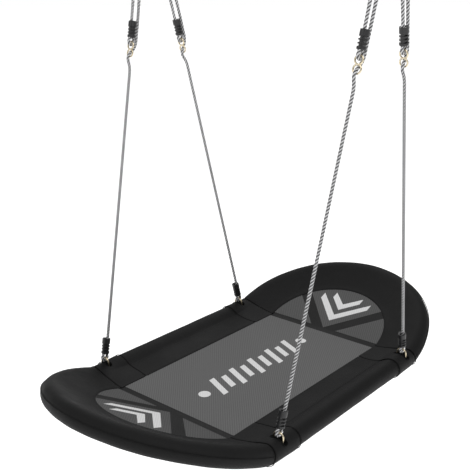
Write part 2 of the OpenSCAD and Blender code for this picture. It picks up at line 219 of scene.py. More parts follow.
class Graph:
    """The nodes of one material."""

    def __init__(self, name: str) -> None:
        """Starts a material with only a Principled shader and its output."""
        self.material = bpy.data.materials.new(name)
        self.material.use_nodes = True
        self.tree = self.material.node_tree
        self.shader = self.tree.nodes["Principled BSDF"]

    def node(
        self, kind: str, settings: dict[str, object], inputs: dict[object, object], out: object = 0
    ) -> Sock:
        """Adds a node.

        Args:
            kind: the node's type.
            settings: its properties, such as an operation, or the stops of a ramp.
            inputs: values or links, by the name or number of the socket.
            out: name or number of the output that is wanted.

        Returns:
            That output.
        """
        made = self.tree.nodes.new(kind)
        for key, value in settings.items():
            if key == "stops":
                ramp = made.color_ramp
                while len(ramp.elements) < len(value):
                    ramp.elements.new(0.5)
                for element, (position, colour) in zip(ramp.elements, value):
                    element.position = position
                    element.color = colour
            else:
                setattr(made, key, value)
        for key, value in inputs.items():
            if isinstance(value, Sock):
                self.tree.links.new(value.socket, made.inputs[key])
            else:
                made.inputs[key].default_value = value
        return Sock(self, made.outputs[out])

    def coords(self) -> Sock:
        """Object coordinates, which are the row frame's metres."""
        return self.node("ShaderNodeTexCoord", {}, {}, "Object")

    def axis(self, vector: Sock, name: str) -> Sock:
        """One axis of a vector."""
        return self.node("ShaderNodeSeparateXYZ", {}, {0: vector}, name)

    def noise(self, vector: Sock, scale: float, detail: float = 3.0) -> Sock:
        """Smooth noise around 0.5."""
        return self.node("ShaderNodeTexNoise", {}, {"Vector": vector, "Scale": scale, "Detail": detail}, 0)

    def blend(self, factor: Sock, dark: Sequence[float], light: Sequence[float]) -> Sock:
        """A colour between two, by a factor."""
        return self.node(
            "ShaderNodeMix",
            {"data_type": "RGBA"},
            {0: factor, 6: (*dark, 1.0), 7: (*light, 1.0)},
            2,
        )

    def bump(self, height: Sock, strength: float, distance: float) -> None:
        """Feeds a Bump node into the shader's normal."""
        made = self.node("ShaderNodeBump", {}, {"Strength": strength, "Distance": distance, "Height": height})
        self.tree.links.new(made.socket, self.shader.inputs["Normal"])

    def feed(self, **inputs: object) -> None:
        """Sets or links the shader's own sockets, with underscores for spaces in their names."""
        for key, value in inputs.items():
            socket = self.shader.inputs[key.replace("_", " ")]
            if isinstance(value, Sock):
                self.tree.links.new(value.socket, socket)
            else:
                socket.default_value = value


@dataclass(frozen=True)
class ClothFinish:
    """Coated woven cloth: a fine square weave, faint creases and worn patches."""

    name: str
    dark: Point
    light: Point
    rough: float = 0.62
    thread: float = 1.1

    def make(self) -> bpy.types.Material:
        """Makes the material."""
        g = Graph(self.name)
        p = g.coords()
        turn = 2 * math.pi / (self.thread * MM)
        weave = (g.axis(p, "X") * turn).sine() * (g.axis(p, "Y") * turn).sine()
        rub = g.noise(p, 9.0, 5.0)
        crease = g.noise(p, 34.0, 2.0)
        fibre = g.noise(p, 900.0, 2.0)
        g.feed(
            Base_Color=g.blend(rub * 0.7 + fibre * 0.3, self.dark, self.light),
            Roughness=self.rough + (rub - 0.5) * 0.25 + (fibre - 0.5) * 0.1,
            Specular_IOR_Level=0.12,
        )
        g.bump(weave * 0.12 + crease * 2.4 + fibre * 0.15, 0.4, 0.001)
        return g.material


@dataclass(frozen=True)
class MatFinish:
    """Plastic-coated mesh: diagonal ribs over a fine grid, with the print's own colour."""

    name: str
    dark: Point
    light: Point
    rib: float = 6.4
    grid: float = 2.0
    rough: float = 0.6

    def make(self) -> bpy.types.Material:
        """Makes the material."""
        g = Graph(self.name)
        p = g.coords()
        x, y = g.axis(p, "X"), g.axis(p, "Y")
        turn = 2 * math.pi / (self.rib * MM)
        ribs = ((x * 0.67 - y * 0.74) * turn).sine() * 0.5 + 0.5
        fine = 2 * math.pi / (self.grid * MM)
        knots = (x * fine).sine() * (y * fine).sine() * 0.5 + 0.5
        worn = g.noise(p, 6.0, 4.0)
        g.feed(
            Base_Color=g.blend(ribs * 0.45 + knots * 0.25 + worn * 0.3, self.dark, self.light),
            Roughness=self.rough + (worn - 0.5) * 0.2,
            Specular_IOR_Level=0.15,
        )
        g.bump(ribs * 0.5 + knots * 0.5, 0.3, 0.0006)
        return g.material


@dataclass(frozen=True)
class RopeFinish:
    """Twisted fibre rope with fine yarns: pale strands with a painted highlight on their crowns, and painted
    shade that darkens the grooves between them.
    """

    name: str
    # Colour of the painted shade in the grooves between the strands
    groove: Point
    # Colour of the strands' crowns: the pale fibre with a painted highlight
    strand_and_painted_highlight: Point

    def make(self) -> bpy.types.Material:
        """Makes the material."""
        g = Graph(self.name)
        # Mask of the painted shade and highlight: 1 on a strand's crown, 0 in a groove
        crown = g.node("ShaderNodeAttribute", {"attribute_name": "crown"}, {}, "Fac")
        uv = g.node("ShaderNodeUVMap", {"uv_map": "lay"}, {}, 0)
        yarn = (g.axis(uv, "X") * 5200.0 + g.axis(uv, "Y") * 150.0).sine() * 0.5 + 0.5
        dirt = g.noise(g.coords(), 60.0, 4.0)
        # Painted shade in the grooves and painted highlight on the crowns, with yarn lines and random dirt
        shade = crown * crown * crown * 1.05 + yarn * 0.08 + (dirt - 0.5) * 0.2
        g.feed(
            Base_Color=g.blend(shade, self.groove, self.strand_and_painted_highlight),
            Roughness=0.72 + (dirt - 0.5) * 0.2,
            Sheen_Weight=0.2,
        )
        g.bump(yarn * 0.6 + dirt, 0.4, 0.0004)
        return g.material


@dataclass(frozen=True)
class MetalFinish:
    """Plated or coated steel, with faint clouding, scuffs and a fine grain."""

    name: str
    dark: Point
    light: Point
    rough: float = 0.28
    metallic: float = 1.0

    def make(self) -> bpy.types.Material:
        """Makes the material."""
        g = Graph(self.name)
        p = g.coords()
        cloud = g.noise(p, 70.0, 4.0)
        scuff = g.noise(p, 520.0, 3.0)
        g.feed(
            Base_Color=g.blend(cloud, self.dark, self.light),
            Roughness=self.rough + (cloud - 0.5) * 0.2 + (scuff - 0.5) * 0.14,
            Metallic=self.metallic,
        )
        g.bump(scuff, 0.12, 0.0004)
        return g.material


@dataclass(frozen=True)
class PlasticFinish:
    """Moulded plastic, with a fine texture and a dull bloom."""

    name: str
    dark: Point
    light: Point
    rough: float = 0.4

    def make(self) -> bpy.types.Material:
        """Makes the material."""
        g = Graph(self.name)
        p = g.coords()
        bloom = g.noise(p, 45.0, 4.0)
        grain = g.noise(p, 1500.0, 2.0)
        g.feed(
            Base_Color=g.blend(bloom, self.dark, self.light),
            Roughness=self.rough + (bloom - 0.5) * 0.25,
        )
        g.bump(grain, 0.25, 0.0003)
        return g.material


@dataclass(frozen=True)
class FloorFinish:
    """Pale seamless paper, lit evenly from within."""

    name: str
    shade: Point = (0.9, 0.9, 0.9)
    glow: float = 0.8

    def make(self) -> bpy.types.Material:
        """Makes the material."""
        g = Graph(self.name)
        g.feed(
            Base_Color=(*self.shade, 1.0),
            Roughness=0.9,
            Specular_IOR_Level=0.0,
            Emission_Color=(1.0, 1.0, 1.0, 1.0),
            Emission_Strength=self.glow,
        )
        return g.material


@dataclass(frozen=True)
class Finishes:
    """Every finish of the swing, made once."""

    cover: bpy.types.Material
    corner: bpy.types.Material
    seam: bpy.types.Material
    # Painted shade for the inside of the link slots
    void: bpy.types.Material
    mat_black: bpy.types.Material
    mat_grey: bpy.types.Material
    mat_end: bpy.types.Material
    white: bpy.types.Material
    rope: bpy.types.Material
    yellow_zinc: bpy.types.Material
    bright_zinc: bpy.types.Material
    plastic: bpy.types.Material
    frame_steel: bpy.types.Material
    foam: bpy.types.Material
    floor: bpy.types.Material

    @classmethod
    def make(cls) -> "Finishes":
        """Makes them all."""
        return cls(
            cover=ClothFinish("cover_cloth", (0.0078, 0.0078, 0.0079), (0.0138, 0.0138, 0.014)).make(),
            corner=ClothFinish(
                "corner_cloth", (0.0082, 0.0082, 0.0083), (0.0145, 0.0145, 0.0147), thread=1.4
            ).make(),
            seam=ClothFinish(
                "seam_thread", (0.0035, 0.0035, 0.0036), (0.0075, 0.0075, 0.0077), thread=0.8
            ).make(),
            # Near-black painted shade for the inside of the link slots, darker than the cover cloth
            void=ClothFinish("slot_lining", (0.002, 0.002, 0.002), (0.004, 0.004, 0.004), rough=0.8).make(),
            mat_black=MatFinish("mat_black", (0.009, 0.009, 0.009), (0.017, 0.017, 0.017)).make(),
            mat_grey=MatFinish("mat_grey", (0.085, 0.085, 0.085), (0.175, 0.175, 0.175)).make(),
            mat_end=MatFinish("mat_end", (0.06, 0.06, 0.06), (0.125, 0.125, 0.125)).make(),
            white=MatFinish("mat_white", (0.72, 0.72, 0.72), (0.9, 0.9, 0.9)).make(),
            # Rope finish with painted shade in its grooves and a painted highlight on its strands
            rope=RopeFinish("rope_fibre", (0.008, 0.008, 0.009), (0.7, 0.7, 0.71)).make(),
            yellow_zinc=MetalFinish("yellow_zinc", (0.6, 0.5, 0.34), (0.82, 0.74, 0.56)).make(),
            bright_zinc=MetalFinish("bright_zinc", (0.5, 0.5, 0.5), (0.75, 0.75, 0.76)).make(),
            plastic=PlasticFinish("sleeve_plastic", (0.008, 0.008, 0.009), (0.02, 0.02, 0.021)).make(),
            frame_steel=MetalFinish("frame_steel", (0.06, 0.06, 0.065), (0.1, 0.1, 0.105), 0.45, 0.6).make(),
            foam=PlasticFinish("foam", (0.02, 0.02, 0.022), (0.045, 0.045, 0.047), 0.9).make(),
            floor=FloorFinish("floor").make(),
        )


def dress(obj: bpy.types.Object, material: bpy.types.Material) -> None:
    """Gives a whole piece one material."""
    if obj.data.materials:
        for i in range(len(obj.data.materials)):
            obj.data.materials[i] = material
    else:
        obj.data.materials.append(material)


# ---------------------------------------------------------------- camera and room


@dataclass(frozen=True)
class Studio:
    """Camera, lights and a pale floor."""

    camera_at: Point = (-1.8224, -1.4553, -0.4405)
    camera_right: Point = (0.644888, -0.764276, -0.001524)
    camera_up: Point = (0.227497, 0.190055, 0.955052)
    camera_back: Point = (-0.729633, -0.616248, 0.296434)
    lens: float = 60.75
    floor_z: float = -2.55
    floor_size: float = 700.0

    def camera(self) -> None:
        """Places the camera."""
        data = bpy.data.cameras.new("camera")
        data.lens = self.lens
        data.sensor_width = 36.0
        data.clip_start, data.clip_end = 0.05, 100.0
        obj = bpy.data.objects.new("camera", data)
        axes = Matrix((self.camera_right, self.camera_up, self.camera_back)).transposed().to_4x4()
        obj.matrix_world = Matrix.Translation(self.camera_at) @ axes
        bpy.context.scene.collection.objects.link(obj)
        bpy.context.scene.camera = obj

    def light(self, name: str, at: Point, target: Point, size: float, power: float) -> None:
        """Adds a square area light.

        Args:
            name: its name.
            at: its place.
            target: the point it faces.
            size: its side, in metres.
            power: in watts.
        """
        data = bpy.data.lights.new(name, "AREA")
        data.size = size
        data.energy = power
        obj = bpy.data.objects.new(name, data)
        obj.location = at
        obj.rotation_euler = (Vector(target) - Vector(at)).to_track_quat("-Z", "Y").to_euler()
        bpy.context.scene.collection.objects.link(obj)

    def room(self, finishes: Finishes) -> None:
        """Makes the floor, the lights and the pale surroundings."""
        half = self.floor_size / 2
        floor = mesh_piece(
            "floor",
            [(-half, -half, self.floor_z), (half, -half, self.floor_z),
             (half, half, self.floor_z), (-half, half, self.floor_z)],
            [(0, 1, 2, 3)],
        )
        dress(floor, finishes.floor)
        middle = (0.0, 0.0, -1.5)
        self.light("key", (-1.2, -2.2, 2.2), middle, 2.6, 72.0)
        self.light("fill", (-3.2, 1.4, 0.8), middle, 2.4, 20.0)
        self.light("rim", (2.6, 2.2, 1.6), middle, 2.2, 38.0)
        bpy.context.scene.view_settings.view_transform = "Standard"
        world = bpy.data.worlds.new("surroundings")
        world.use_nodes = True
        back = world.node_tree.nodes["Background"]
        back.inputs["Color"].default_value = (1.0, 1.0, 1.0, 1.0)
        back.inputs["Strength"].default_value = 0.36
        nodes, links = world.node_tree.nodes, world.node_tree.links
        seen = nodes.new("ShaderNodeBackground")
        seen.inputs["Color"].default_value = (1.0, 1.0, 1.0, 1.0)
        seen.inputs["Strength"].default_value = 1.0
        ray, mix = nodes.new("ShaderNodeLightPath"), nodes.new("ShaderNodeMixShader")
        links.new(ray.outputs["Is Camera Ray"], mix.inputs["Fac"])
        links.new(back.outputs["Background"], mix.inputs[1])
        links.new(seen.outputs["Background"], mix.inputs[2])
        links.new(mix.outputs["Shader"], nodes["World Output"].inputs["Surface"])
        bpy.context.scene.world = world


# ---------------------------------------------------------------- ropes


@dataclass(frozen=True)
class Leg:
    """The straight line of one leg, from its link up to its ring."""

    end: End
    side: Side
    hang_x: float = 332.0
    hang_y: float = 438.0
    link_h: float = 47.0
    drop: float = 1489.0
    ring_bow: float = 34.0

    def foot(self) -> Vector:
        """Centre of the link's top wire, in millimetres in the seat's frame."""
        lean = math.atan((self.hang_y - RIM_R) / (self.drop - self.ring_bow))
        return Vector((
            self.end.value * self.hang_x,
            self.side.value * (RIM_R + self.link_h * math.sin(lean)),
            self.link_h * math.cos(lean),
        ))

    def head(self) -> Vector:
        """Point of the hanging ring that the rope passes over."""
        spread = math.atan(self.hang_x / (self.drop - self.link_h))
        return Vector((
            self.end.value * self.ring_bow * math.sin(spread),
            self.side.value * self.hang_y,
            self.drop - self.ring_bow * math.cos(spread),
        ))

    def length(self) -> float:
        """Distance from foot to head."""
        return (self.head() - self.foot()).length

    def place(self, p: Sequence[float]) -> Point:
        """A point of the leg's own frame, in the row frame."""
        d = (self.head() - self.foot()).normalized()
        turn = Matrix.Rotation(math.atan2(d.x, d.z), 3, "Y") @ Matrix.Rotation(-math.asin(d.y), 3, "X")
        at = self.foot() + turn @ Vector(p)
        return seat_point(at.x, at.y, at.z)


def rounded(points: Sequence[Vector], radius: float, step: float) -> list[Vector]:
    """A path along points with its corners rounded, in short even steps.

    Args:
        points: the corners.
        radius: longest piece of each straight that a corner's curve may take.
        step: length of a step.

    Returns:
        Points on the smooth path.
    """
    curve: list[Vector] = [points[0]]
    for a, b, c in zip(points, points[1:], points[2:]):
        into, out = (a - b), (c - b)
        reach = min(radius, into.length / 2, out.length / 2)
        start, stop = b + into.normalized() * reach, b + out.normalized() * reach
        curve += [start.lerp(b, t).lerp(b.lerp(stop, t), t) for t in (i / 8 for i in range(9))]
    curve.append(points[-1])
    even = [curve[0]]
    for p in curve[1:]:
        gap = (p - even[-1]).length
        while gap > step:
            even.append(even[-1].lerp(p, step / gap))
            gap = (p - even[-1]).length
    even.append(curve[-1])
    return even


@dataclass(frozen=True)
class Rope:
    """One twisted rope, with an eye spliced at each end and its crossing of the adjuster."""

    leg: Leg
    radius: float = 5.0
    strands: int = 3
    pitch: float = 30.0
    sides: int = 18
    step: float = 2.6
    groove: float = 0.3
    adjuster_h: float = 960.0
    upper_eye: float = 994.5

    def eye(self, centre: float, start: float, stop: float) -> list[Vector]:
        """Points around an eye, by angles from its bottom."""
        return [
            Vector((10.0 * math.sin(a), 0.0, centre - 10.0 * math.cos(a)))
            for a in (math.radians(start + (stop - start) * i / 10) for i in range(11))
        ]

    def route(self) -> list[Vector]:
        """The rope's whole way, in the leg's frame."""
        z8, e, top = self.adjuster_h, self.upper_eye, self.leg.length()
        dead = Vector((-5.2, 0.0, 48.0))
        low = [dead, Vector((-5.2, 0.0, 17.0)), *self.eye(0.0, -118.0, 118.0), Vector((5.2, 0.0, 17.0))]
        cross = [Vector(p) for p in (
            (5.2, 0, 62), (4.6, 0, z8 - 46), (-7.5, 0, z8 - 20), (-7, 0, z8 - 8.5), (0, 0, z8),
            (13, 0, z8 + 13), (20.6, 0, z8 + 30), (20.6, 0, z8 + 104),
        )]
        over = [Vector(p) for p in (
            (0, -10.8, top - 6), (0, -9.4, top + 4.5), (0, -4, top + 9.9),
            (0, 4, top + 9.9), (0, 9.4, top + 4.5), (0, 10.8, top - 6),
        )]
        high = [Vector((-5.2, 0, e + 72)), Vector((-5.2, 0, e + 17)), *self.eye(e, -118.0, 118.0),
                Vector((5.2, 0, e + 17)), Vector((5.2, 0, e + 48))]
        return rounded(low + cross + over + high, 16.0, self.step)

    def build(self, finishes: Finishes) -> bpy.types.Object:
        """Args:
            finishes: the swing's finishes.

        Returns:
            The rope.
        """
        path = self.route()
        name = corner_name(self.leg.end, self.leg.side)
        verts: list[Point] = []
        # Mask for the rope material's painted groove shade and crown highlight, one value a point
        crown: list[float] = []
        lay: list[tuple[float, float]] = []
        side = Vector((0.0, 1.0, 0.0))
        run = 0.0
        last = len(path) - 1
        for i, p in enumerate(path):
            ahead = (path[min(i + 1, last)] - path[max(i - 1, 0)]).normalized()
            side = (side - side.dot(ahead) * ahead).normalized()
            across = ahead.cross(side)
            run += (p - path[i - 1]).length if i else 0.0
            twist = 2 * math.pi * run / self.pitch
            for k in range(self.sides):
                a = 2 * math.pi * k / self.sides
                bulge = abs(math.cos(self.strands * (a - twist) / 2))
                r = self.radius * (1 - self.groove * (1 - bulge ** 0.6))
                verts.append(self.leg.place(p + r * (math.cos(a) * side + math.sin(a) * across)))
                crown.append(bulge)
                lay.append((run * MM, a - twist))
        faces: list[Face] = []
        for i in range(last):
            for k in range(self.sides):
                a, b = i * self.sides + k, i * self.sides + (k + 1) % self.sides
                faces.append((a, a + self.sides, b + self.sides, b))
        for i in (0, last):
            faces.append(tuple(range(i * self.sides, (i + 1) * self.sides)))
        rope = mesh_piece(f"laid_rope_{name}", verts, faces)
        # Hands the mask of painted groove shade and crown highlight to the rope's material
        shade = rope.data.attributes.new("crown", "FLOAT", "POINT")
        shade.data.foreach_set("value", crown)
        uv = rope.data.uv_layers.new(name="lay")
        for loop in rope.data.loops:
            uv.data[loop.index].uv = lay[loop.vertex_index]
        dress(rope, finishes.rope)
        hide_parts(f"rope_{name}")
        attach(rope, f"legs_{self.leg.side.name.lower()}")
        line = [self.leg.place(p) for p in path]
        run * MM
        LOG.info("%s: %.0f mm of rope", rope.name, run)
        return rope


# ---------------------------------------------------------------- seat covers

Profile = list[tuple[float, float]]

# Radius of the pad's skin about the tube's axis
RIM_SKIN = 30.0

# Section of the padded rim along a side, from the mat's edge over the pad and back under it:
# distance outwards from the tube's axis, and height
SIDE_SECTION: Profile = [
    (-126.0, 1.2), (-124.5, 2.3), (-119.0, 2.8), (-113.0, 2.7), (-98.0, 3.4), (-80.0, 5.2), (-64.0, 7.6),
    (-52.0, 10.4), (-44.5, 12.6), (-41.0, 12.8), (-37.0, 15.0), (-29.5, 19.6), (-20.5, 24.4), (-10.5, 28.4),
    (0.0, 30.0), (10.5, 28.3), (20.0, 22.9), (26.8, 14.2), (29.8, 4.5), (29.2, -6.5), (25.2, -17.0),
    (17.0, -25.0), (6.5, -29.4), (-4.5, -29.6), (-15.0, -26.0), (-23.5, -18.9), (-30.0, -11.2),
    (-37.5, -6.6), (-50.0, -4.6), (-72.0, -3.9), (-98.0, -3.6), (-120.0, -3.4), (-126.0, -2.8),
]
# The same at a round end, where the cloth runs straight from the mat to the top of the pad
END_SECTION: Profile = [
    (-126.0, 1.2), (-124.5, 2.3), (-119.0, 2.9), (-112.0, 3.4), (-98.0, 5.8), (-82.0, 9.4), (-67.0, 13.0),
    (-55.0, 16.0), (-46.5, 18.2), (-40.0, 20.0), (-34.0, 21.6), (-27.0, 23.6), (-19.5, 25.9), (-10.0, 28.6),
] + SIDE_SECTION[14:]


def swell(section: Profile, grow: float) -> Profile:
    """The section with its pad grown by some millimetres, and its panel hardly at all."""
    out = []
    for d, z in section:
        reach = math.hypot(d, z)
        share = 1.0 if d > -34 else max(0.22, 1 - (-34 - d) / 26)
        if reach > 0 and d > -60:
            out.append((d + grow * share * d / reach, z + grow * share * z / reach))
        else:
            out.append((d, z + math.copysign(grow * 0.22, z)))
    return out


def crumple(x: float, y: float, z: float) -> float:
    """Slow bumps of stuffed cloth, from -1 to 1, the same on each run."""
    return (
        math.sin(x * 0.031 + 1.7 * math.sin(y * 0.017)) * 0.45
        + math.sin(y * 0.043 + z * 0.06 + 2.1) * 0.3
        + math.sin((x - y) * 0.083 + z * 0.05 + 0.6) * 0.25
    )


@dataclass
class PaddedRim:
    """The padded covers: two sides, four quilted corners and two round ends."""

    finishes: Finishes
    corner_x: float = 270.0
    lap: float = 7.0
    corner_swell: float = 3.2
    wrinkle: float = 0.7
    slot_x: float = 332.0
    slot_half: float = 9.0
    slot_in: float = 48.0
    slot_out: float = 62.0
    slot_floor: float = 11.8
    slot_mid: float = 34.0
    slot_clear: float = 46.0
    binding_r: float = 1.3

    def loft(self, name: str, stations: list[list[Point]], closed_ends: bool = True) -> bpy.types.Object:
        """A closed skin through rings of points.

        Args:
            name: name of the piece.
            stations: rings with the same number of points.
            closed_ends: True to close both ends with a face.

        Returns:
            The piece.
        """
        n = len(stations[0])
        verts = [p for ring in stations for p in ring]
        faces: list[Face] = []
        for i in range(len(stations) - 1):
            for k in range(n):
                a, b = i * n + k, i * n + (k + 1) % n
                faces.append((a, b, b + n, a + n))
        if closed_ends:
            faces.append(tuple(range(n)))
            faces.append(tuple(range((len(stations) - 1) * n, len(stations) * n)))
        return mesh_piece(name, verts, faces)

    def soften(self, section: Profile, x: float, along: float, weight: float) -> Profile:
        """Adds cloth bumps and puckers to a section.

        Args:
            section: the section.
            x: place along the rim, which sets the bumps.
            along: distance to the nearest cross seam.
            weight: how strong the bumps are.

        Returns:
            The softened section.
        """
        pinch = 1.6 * math.exp(-((along / 7.0) ** 2))
        pucker = 0.45 * math.exp(-along / 28.0)
        out = []
        for i, (d, z) in enumerate(section):
            on_pad = 1.0 if d > -38 else 0.3
            reach = max(math.hypot(d + 4, z), 1.0)
            lift = self.wrinkle * weight * crumple(x, d * 1.3 + 9, z) * on_pad
            lift += pucker * math.sin(i * 2.4) * on_pad - pinch * (1.0 if d > -60 else 0.25)
            out.append((d + lift * (d + 4) / reach if d > -60 else d, z + lift * z / reach))
        return out

    def side(self, side: Side) -> bpy.types.Object:
        """One long side, between its two corner covers."""
        half = self.corner_x + self.lap
        steps = 74
        stations = []
        for i in range(steps + 1):
            x = -half + 2 * half * i / steps
            waist = -0.2 * math.cos(math.pi * x / (2 * half)) ** 2
            section = self.soften(swell(SIDE_SECTION, waist), x * 1.1 + side.value * 70, half - abs(x), 0.7)
            stations.append([seat_point(x, side.value * (RIM_R + d), z) for d, z in section])
        piece = self.loft(f"pad_side_{side.name.lower()}", stations)
        self.finish(piece, self.finishes.cover,
                    [f"cover_side_{side.name.lower()}", f"foam_side_{side.name.lower()}"])
        return piece

    def slot_cutter(self, end: End, side: Side) -> bpy.types.Object:
        """A curved block that cuts the slot over a link, from its inner end to its outer end."""
        stations = []
        steps = 28
        start, stop = math.radians(-self.slot_in), math.radians(self.slot_out)
        cap = self.slot_half / self.slot_mid
        for i in range(steps + 1):
            a = start + (stop - start) * i / steps
            near = min(a - start, stop - a) / cap
            half = self.slot_half * math.sqrt(max(1 - (1 - min(near, 1.0)) ** 2, 0.01))
            ring = []
            low, high = self.slot_floor, self.slot_clear
            for w, r in ((-half, low), (half, low), (half, high), (-half, high)):
                x = end.value * (self.slot_x + w)
                ring.append(seat_point(x, side.value * (RIM_R + r * math.sin(a)), r * math.cos(a)))
            stations.append(ring)
        return self.loft("slot_cutter", stations)

    def slot_binding(self, end: End, side: Side) -> None:
        """The corded edge sewn round a slot."""
        path = []
        start, stop = math.radians(-self.slot_in), math.radians(self.slot_out)
        middle, reach = (start + stop) / 2, (stop - start) / 2
        skin = RIM_SKIN + self.corner_swell * 0.86
        for i in range(49):
            t = 2 * math.pi * i / 48
            wide = self.slot_half * math.copysign(min(1.0, abs(math.sin(t)) * 1.9), math.sin(t))
            a = middle + reach * math.cos(t)
            x, y = end.value * (self.slot_x + wide), side.value * (RIM_R + skin * math.sin(a))
            path.append(seat_point(x, y, skin * math.cos(a)))
        name = corner_name(end, side)
        piece = tube(f"slot_binding_{name}", path, self.binding_r)
        dress(piece, self.finishes.seam)
        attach(piece, "seat")

    def corner(self, end: End, side: Side) -> bpy.types.Object:
        """One quilted corner cover, from the side cover to the fold."""
        stations = []
        steps = 26
        flat, steep = swell(SIDE_SECTION, self.corner_swell), swell(END_SECTION, 0.8)
        for i in range(steps + 1):
            t = i / steps
            ring = []
            inner = self.corner_x + (FOLD_X - self.corner_x) * t
            turn = t * t * (3 - 2 * t)
            section = [
                (a + (c - a) * turn, b + (e - b) * turn) for (a, b), (c, e) in zip(flat, steep)
            ]
            soft = self.soften(section, inner + end.value * 40 + side.value * 25, min(t, 1 - t) * 111, 0.8)
            for d, z in soft:
                x0 = self.corner_x + 6.0 * math.exp(-(((d + 126) / 20.0) ** 2))
                x1 = FOLD_X - z * math.tan(TILT / 2) - 0.3
                ring.append(seat_point(end.value * (x0 + (x1 - x0) * t), side.value * (RIM_R + d), z))
            stations.append(ring)
        name = corner_name(end, side)
        piece = self.loft(f"pad_corner_{name}", stations)
        apply_modifier(piece, "SUBSURF", "smooth", levels=1, render_levels=1)
        cutter = self.slot_cutter(end, side)
        apply_modifier(piece, "BOOLEAN", "slot", object=cutter, operation="DIFFERENCE", solver="EXACT")
        bpy.data.objects.remove(cutter)
        self.slot_binding(end, side)
        self.finish(piece, self.finishes.corner, [f"cover_corner_{name}"], False)
        return piece

    def end_station(self, end: End, section: Profile, turn: float) -> list[Point]:
        """A ring of the round end, at an angle from its back (+Y) side."""
        ring = []
        for d, z in section:
            r = RIM_R + d
            ring.append(end_point(end, ARC_X + r * math.sin(turn), r * math.cos(turn), z))
        return ring

    def round_end(self, end: End) -> bpy.types.Object:
        """One turned-up round end."""
        stations = []
        for first in (True, False):
            rows = []
            for i in range(3):
                s = ARC_X * i / 3
                sign = 1 if first else -1
                section = self.soften(END_SECTION, s * sign, s + 2.0, 1.0)
                ring = []
                for d, z in section:
                    at = s + (z * math.tan(TILT / 2)) * (1 - i / 3) + 0.3 * (1 - i / 3)
                    ring.append(end_point(end, at, sign * (RIM_R + d), z))
                rows.append(ring)
            if first:
                stations += rows
                steps = 120
                for k in range(steps + 1):
                    turn = math.pi * k / steps
                    near = min(turn, math.pi - turn) * RIM_R + ARC_X
                    section = self.soften(END_SECTION, turn * RIM_R + end.value * 90, near, 1.0)
                    stations.append(self.end_station(end, section, turn))
            else:
                stations += rows[::-1]
        piece = self.loft(f"pad_end_{end.name.lower()}", stations)
        self.finish(piece, self.finishes.cover,
                    [f"cover_end_{end.name.lower()}", f"foam_end_{end.name.lower()}"])
        return piece

    def finish(self, piece: bpy.types.Object, material: bpy.types.Material,
               nodes: Sequence[str], divide: bool = True) -> None:
        """Smooths, dresses and attaches a padded piece to the seat, and hides the CAD nodes that it replaces.
        """
        if divide:
            apply_modifier(piece, "SUBSURF", "smooth", levels=1, render_levels=1)
        activate(piece)
        bpy.ops.object.shade_smooth_by_angle(angle=math.radians(60))
        deselect()
        dress(piece, material)
        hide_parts(*nodes)
        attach(piece, "seat")
        LOG.info("%s made", piece.name)

    def build(self) -> None:
        """Makes every cover."""
        for side in Side:
            self.side(side)
        for end, side in CORNERS:
            self.corner(end, side)
        for end in End:
            self.round_end(end)


def tube(name: str, path: Sequence[Point], radius: float, sides: int = 6) -> bpy.types.Object:
    """A thin round cord through points in the row frame, as a mesh.

    Args:
        name: name of the piece.
        path: the points, in metres.
        radius: in millimetres.
        sides: sides of its section.

    Returns:
        The piece.
    """
    points = [Vector(p) for p in path]
    verts: list[Point] = []
    last = len(points) - 1
    side = Vector((0.31, 0.17, 0.93)).normalized()
    for i, p in enumerate(points):
        ahead = (points[min(i + 1, last)] - points[max(i - 1, 0)]).normalized()
        side = (side - side.dot(ahead) * ahead).normalized()
        across = ahead.cross(side)
        for k in range(sides):
            a = 2 * math.pi * k / sides
            verts.append(tuple(p + radius * MM * (math.cos(a) * side + math.sin(a) * across)))
    faces: list[Face] = [
        (i * sides + k, (i + 1) * sides + k, (i + 1) * sides + (k + 1) % sides, i * sides + (k + 1) % sides)
        for i in range(last) for k in range(sides)
    ]
    faces += [tuple(range(sides)), tuple(range(last * sides, (last + 1) * sides))]
    return mesh_piece(name, verts, faces)


